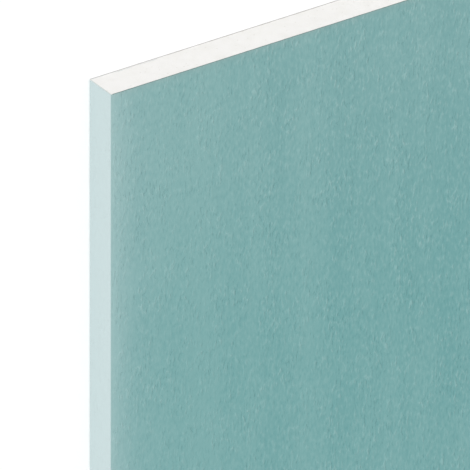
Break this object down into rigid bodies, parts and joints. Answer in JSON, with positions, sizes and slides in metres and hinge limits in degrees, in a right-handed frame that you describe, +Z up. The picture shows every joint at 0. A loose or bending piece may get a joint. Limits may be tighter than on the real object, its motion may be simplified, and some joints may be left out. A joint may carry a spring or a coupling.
{
  "type": "drywall sheet",
  "caption": "Moisture-resistant drywall sheet: a gypsum core between a teal face paper, folded round the square long edges, and a grey back paper, for lining walls and ceilings.",
  "frame": {"origin": "under the centre of the sheet, on the back paper's outer face that it rests on", "axes": "+Z up out of the teal face, +Y along the length between the cut ends, +X across the width between the folded long edges"},
  "size_m": [1.2, 2.4, 0.0125],
  "materials": {
    "gypsum": "matte off-white gypsum, fine-grained, cut at the ends",
    "face_paper": "matte teal board paper with fibres along the sheet, paler round the folded edges",
    "back_paper": "matte grey board paper"
  },
  "bodies": {
    "root": {"gypsum_core": "gypsum", "face_paper": "face_paper", "back_paper": "back_paper"}
  },
  "joints": []
}
